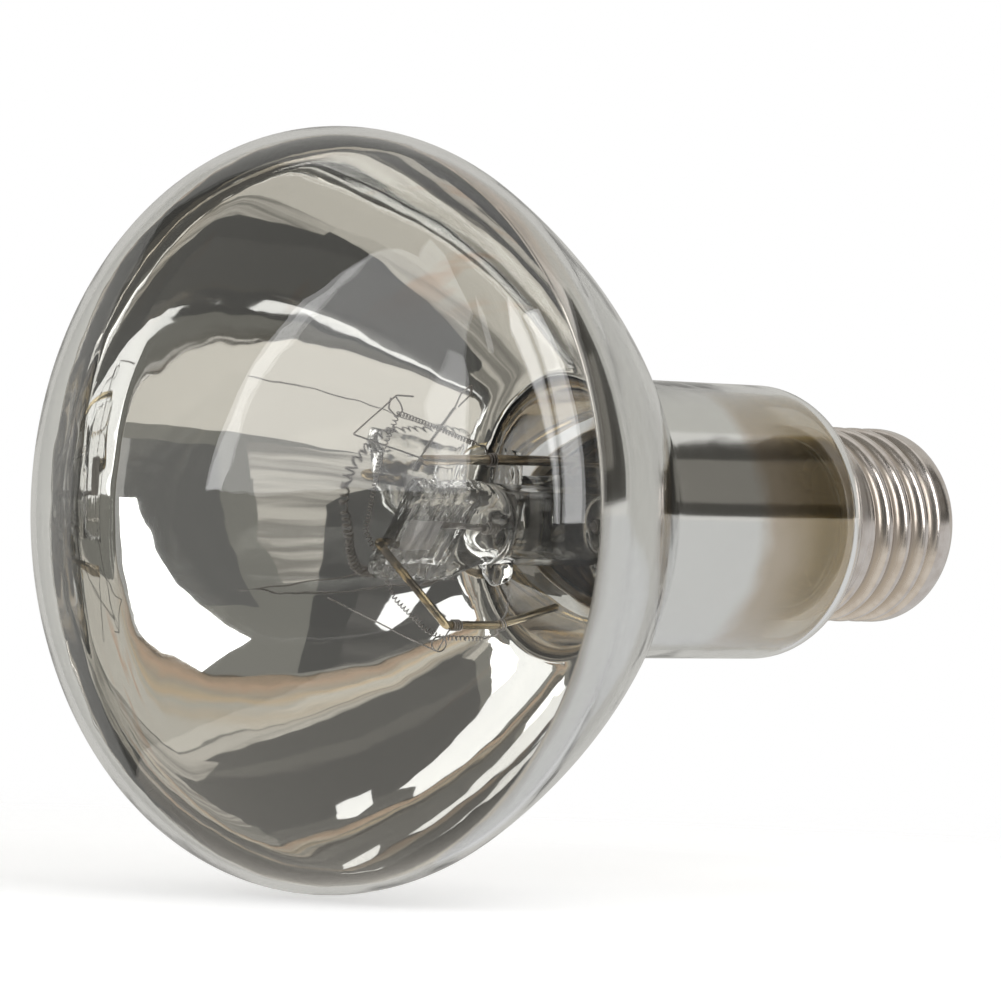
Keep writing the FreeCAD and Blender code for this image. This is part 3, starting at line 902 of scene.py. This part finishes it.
def filament_route():
    """The filament's corners, from the rod over the front hook and down to the return wire."""
    side = support_radius + filament_radius + seat
    start_y = support_front + filament_start
    hung_y = support_front - hook_reach + 1.2 * hook_return
    hung_z = support_height + hook_peak - hook_radius - filament_radius - filament_hang
    low = -return_drop - filament_sag
    end_z = under_return(1, filament_radius)[2] - 2 * seat
    return [(side, start_y, support_height + filament_radius),
            (side, start_y - 3.8, support_height + 6 * filament_radius),
            (side, hung_y, hung_z), (-0.25 * filament_swing, hung_y, hung_z - 0.4 * hook_reach),
            (-filament_swing, return_bend_y - 3.2, -2.3),
            (-0.8 * filament_swing, return_bend_y + 0.8, low + 0.36 * hook_reach),
            (-0.25 * filament_swing, return_bend_y + 2.2, low + filament_radius * 3),
            (0.6, return_bend_y + 2.8, low), (2.0, return_bend_y + filament_end - 2, low),
            (2.9, return_bend_y + filament_end, end_z)]


def make_filament():
    """The fine coil, with plain tails that tie it to the rod and the return wire."""
    route = filament_route()
    line = line_points(route[1:-1], 1.0)
    length = sum((end - start).length for start, end in zip(line, line[1:]))
    body = filament_radius - filament_wire

    def size(done):
        return body * soft_step(done, 0, coil_taper) * (1 - soft_step(done, length - coil_taper, length))

    coil = coiled(line, size, filament_pitch)
    wrap_y = route[0][1] - 1.2
    climb = support_rise / (stem_front - support_step - support_front)
    wrap_z = support_height + climb * (wrap_y - support_front)
    wrap = coiled([Vector((0, wrap_y, wrap_z)), Vector((0, wrap_y + 1.3, wrap_z))],
                  support_radius + filament_wire + 0.02, tie_pitch, 20)
    tail = line_points([coil[0], (0.9, route[1][1] + 1.2, route[1][2] - 0.2), wrap[0]], 0.4)
    knot = Vector(under_return(1, 0)) + Vector((0, 0.4, return_radius + seat))
    loop = coiled([knot, knot + Vector((-0.05, 1.0, 0.05))], return_radius + filament_wire * 2,
                  tie_pitch, 20)
    end = line_points([coil[-1], Vector(route[-1]) - Vector((0, 0.6, 0.1)), loop[0]], 0.3)
    spare = [loop[-1], loop[-1] + Vector((-0.2, 1.0, 0.9)), loop[-1] + Vector((-0.3, 1.3, 2.1))]
    plain = tube([tail + wrap, end + loop, line_points(spare, 0.3)], tie_wire, 8)
    piece("filament_coil", joined(tube([coil], filament_wire, 6), plain), "tungsten", "ballast_filament")


def pinch_outline(turn, flat):
    """A point of the tube's section, from round to the flat pinch with its two beads."""
    power = 1 - 0.62 * flat
    across = abs(sin(turn)) ** power * (1 if sin(turn) > 0 else -1)
    through = abs(cos(turn)) ** power * (1 if cos(turn) > 0 else -1)
    half_width = arc_radius + (pinch_half_width + pinch_bead_radius - arc_radius) * flat
    bead = soft_step(abs(across), 0.62, 0.80) * (pinch_bead_radius - pinch_half_thickness + 0.35)
    half_thickness = arc_radius + (pinch_half_thickness - 0.15 + bead - arc_radius) * flat
    return through * half_thickness, across * half_width + pinch_offset * flat


def crinkle(x, y, z, flat):
    """How far the pressed quartz stands out of its even shape."""
    folds = noise.noise(Vector((x * 0.5, y * 0.75, z * 0.55))) * fold_height
    ribs = noise.noise(Vector((3.7, y * 1.6, z * 0.35 + 5))) * rib_height
    fine = noise.noise(Vector((x * 1.5, y * 2.1, z * 1.7))) * wrinkle_height
    return (folds + ribs + fine) * flat


def make_quartz():
    """The arc tube: hollow body, two crinkled pinch seals and the filling tip."""
    ends = []
    for end_y, way in ((pinch_front, 1), (pinch_back, -1)):
        ends.append([(0, end_y), (0.35, end_y), (0.7, end_y), (0.93, end_y + way * 0.05),
                     (1.0, end_y + way * 0.35)])
    length = pinch_back - pinch_front - 0.8
    rows = round(length / quartz_row)
    side = [(1.0, pinch_front + 0.4 + length * row / rows) for row in range(rows + 1)]
    bm = lathe(ends[0] + side + ends[1][::-1], 128, False)
    for vert in bm.verts:
        y = vert.co.y / MM
        share = hypot(vert.co.x, vert.co.z) / MM
        turn = atan2(vert.co.z, vert.co.x)
        flat = 1 - soft_step(y, arc_front - pinch_blend, arc_front)
        flat += soft_step(y, arc_back, arc_back + pinch_blend)
        x, z = pinch_outline(turn, flat)
        x *= share
        z *= share
        out = 1 + crinkle(x, y, z, flat) / max(hypot(x, z), 1.0)
        vert.co = Vector((x * out + crinkle(z, y, x, flat) * 0.5, y, z * out)) * MM
    tip = bmesh.new()
    bmesh.ops.create_icosphere(tip, subdivisions=4, radius=tip_radius * MM)
    for vert in tip.verts:
        lump = 1 + noise.noise(vert.co / MM * 0.8) * 0.16
        vert.co = Vector((vert.co.x * 0.92, vert.co.y * 1.05, vert.co.z * 1.08)) * lump
    bmesh.ops.translate(tip, vec=Vector((0, arc_front + tip_place, -tip_drop)) * MM, verts=tip.verts)
    upright = Matrix.Rotation(radians(-pinch_tilt), 3, "Y")
    bmesh.ops.rotate(tip, cent=(0, 0, 0), matrix=upright, verts=tip.verts)
    bore = arc_radius - arc_wall
    hollow = outline((0, arc_front - 1), 90,
                     [(bore - arc_end_round, 0), (arc_end_round, -90),
                      (arc_body_length + 2 - 2 * arc_end_round, 0),
                      (arc_end_round, -90), (bore - arc_end_round, 0)])[0]
    hollow = lathe(hollow, 96, False)
    skin = united(bm, tip)
    bmesh.ops.reverse_faces(hollow, faces=hollow.faces)
    whole = joined(skin, hollow)
    tilted = Matrix.Translation((0, 0, -arc_drop * MM)) @ Matrix.Rotation(radians(pinch_tilt), 4, "Y")
    bmesh.ops.transform(whole, matrix=tilted, verts=whole.verts)
    piece("quartz_tube", whole, "quartz", "arc_tube")


def make_electrode(name, tip_y, foil_y, node):
    """An electrode's rod with its open winding behind the tip."""
    way = 1 if foil_y > tip_y else -1
    rod = [Vector((0, tip_y, 0)), Vector((0, foil_y, 0))]
    span = (winding_start, winding_start + winding_length)
    core = [Vector((0, tip_y + way * done, 0)) for done in span]
    wound = coiled(core, winding_radius, winding_pitch, 20)
    bm = joined(tube([rod], electrode_radius, 12), tube([wound], winding_wire, 8))
    bmesh.ops.translate(bm, vec=(0, 0, -arc_drop * MM), verts=bm.verts)
    piece(name, bm, "tungsten", node)


def stage_piece(name, bm, finish):
    """A piece of the studio, which isn't part of the lamp."""
    thing = placed(name, bm, finish.material)
    return thing


def toward(side, rise):
    """The direction that lies side degrees right and rise degrees up of the camera."""
    side = radians(side)
    rise = radians(rise)
    return view_right * sin(side) * cos(rise) + view_up * sin(rise) + view_back * cos(side) * cos(rise)


def card(name, corners, distance, brightness, colour=(1, 1, 1), streaked=False):
    """A glowing card that only reflections show, its corners in the given directions from the bowl."""
    bm = bmesh.new()
    bm.faces.new([bm.verts.new(bowl_centre + toward(*corner) * distance) for corner in corners])
    glow = Finish(name, Base_Color=(0, 0, 0), Roughness=1.0, Specular_IOR_Level=0.0,
                  Emission_Color=colour, Emission_Strength=brightness)
    if streaked:
        rows = glow.noise(0.012, 3.0, stretch=(0.12, 0.12, 1))
        dim = [streak_dim * part for part in colour]
        glow.set(Emission_Color=glow.mix(rows.between(0.40, 0.60), dim, colour))
    panel = stage_piece(name, bm, glow)
    panel.visible_camera = False
    return panel


def make_stage():
    """Pale floor and white backdrop, and a dim room with bright boxes for the reflections."""
    bpy.context.scene.view_settings.view_transform = "Standard"
    world = bpy.data.worlds.new("studio")
    bpy.context.scene.world = world
    world.use_nodes = True
    tree = world.node_tree
    shade = tree.nodes["Background"]
    shade.inputs["Color"].default_value = (0.23, 0.225, 0.205, 1)
    white = tree.nodes.new("ShaderNodeBackground")
    white.inputs["Color"].default_value = (1, 1, 1, 1)
    path = tree.nodes.new("ShaderNodeLightPath")
    seen = tree.nodes.new("ShaderNodeMixShader")
    tree.links.new(path.outputs["Is Camera Ray"], seen.inputs[0])
    tree.links.new(shade.outputs[0], seen.inputs[1])
    tree.links.new(white.outputs[0], seen.inputs[2])
    tree.links.new(seen.outputs[0], tree.nodes["World Output"].inputs["Surface"])

    pale = (1.0, 0.985, 0.96)
    warm = (1.0, 0.95, 0.86)
    card("backdrop", [(125, -50), (-125, -50), (-125, 50), (125, 50)], 0.8, 0.56, (1.0, 0.985, 0.935))
    card("ceiling", [(100, 42), (125, 48), (-125, 48), (-110, 60), (60, 62)], 0.7, 0.75, pale)
    card("right_wall", [(84, -1), (135, -1), (135, 60), (84, 60)], 0.8, 0.74, pale)
    card("right_low", [(84, -1), (84, -62), (150, -62), (170, -40), (165, -14), (128, -1)], 0.38, 0.64)
    card("table", [(60, -22), (0, -22), (-60, -22), (-120, -22), (180, -22), (120, -22)],
         0.75, 0.76, warm)
    card("room", [(-1, -22), (20, -22), (19, 10), (15, 25), (-1, 27)], 1.0, 0.62, warm, True)
    card("table_front", [(-62, -22), (-44, 3), (-24, 5), (-12, 0), (-1, 1), (-1, -22)],
         1.0, 0.66, warm, True)
    card("camera_side", [(-26, -22), (10, -22), (10, 58), (-26, 58)], 1.1, 0.09, pale)
    card("right_front", [(37, -20), (78, -20), (78, 48), (37, 48)], 1.05, 0.42, pale)
    card("dark_door", [(24, -20), (40, -20), (40, 10), (28, 30), (18, 32), (22, 10)], 1.1, 0.15, pale)
    card("right_box", [(18, 44), (31, 12), (33, -3), (36, -3), (36, 30), (33, 50), (28, 54)],
         0.28, right_glow)
    card("right_side", [(40.5, 50), (40.5, -3), (60, -3), (60, 50)], 0.28, right_glow)
    card("left_box",
         [(-15, 44), (-21, 50), (-24, 58), (-34, 60), (-45, 46), (-59, 41), (-46, 33), (-31, 28)],
         0.35, left_glow)
    card("left_end", [(-9, 35), (-10, 46), (-8, 50), (-4, 46), (-3.5, 36)], 0.35, left_glow)
    card("left_side",
         [(-31, 28), (-46, 33), (-59, 41), (-71, 32), (-78, 19), (-81, 11), (-82, 4), (-31, 4)],
         0.35, left_glow)
    card("left_edge",
         [(-59, 41), (-71, 32), (-78, 19), (-81, 11), (-82, 4), (-78, 4), (-75, 16), (-67, 31)],
         0.34, 3.4)
    card("left_strip", [(-31, 5), (-31, 28), (-37, 28), (-42, 5)], 0.34, 3.0)
    card("dark_wall", [(90, 1), (92, 13), (97, 24), (106, 34), (125, 37), (134, 20), (124, 1)],
         0.6, 0.07, warm)
    card("wall_middle", [(91, 8), (105, 8), (110, 18), (117, 27), (104, 30), (98, 23), (93, 14)],
         0.52, 0.20, warm)

    bm = bmesh.new()
    bmesh.ops.create_circle(bm, cap_ends=True, segments=64, radius=floor_radius * MM)
    bmesh.ops.translate(bm, vec=(0, rim_y * MM, -(rim_radius + floor_gap) * MM), verts=bm.verts)
    pale_floor = Finish("pale_floor", Base_Color=(0.80, 0.80, 0.80), Roughness=0.9,
                        Specular_IOR_Level=0.1, Emission_Color=(1, 1, 1), Emission_Strength=0.55)
    away = pale_floor.node("ShaderNodeVectorMath", {"operation": "DISTANCE"},
                           {0: pale_floor.place(scale=(1, 1, 0)), 1: (0, rim_y, 0)}, "Value")
    pale_floor.set(Alpha=1.0 - away.between(floor_fade_start, floor_fade_end))
    floor = stage_piece("floor", bm, pale_floor)
    floor.visible_glossy = False
    floor.visible_transmission = False


make_envelope()
make_film()
make_cap()
make_rod()
make_return_wire()
make_front_hook()
make_far_hook()
make_lower_hook()
make_filament()
make_quartz()
foil_reach = foil_inset + foil_length
make_electrode("front_electrode_rod", arc_front + electrode_reach, pinch_front + foil_reach,
               "front_electrode")
make_electrode("rear_electrode_rod", arc_back - electrode_reach, pinch_back - foil_reach,
               "rear_electrode")
make_stage()
for node_name, thing in frame["nodes"].items():
    thing.data.materials.clear()
    thing.data.materials.append(FINISHES[SLOTS[node_name]])
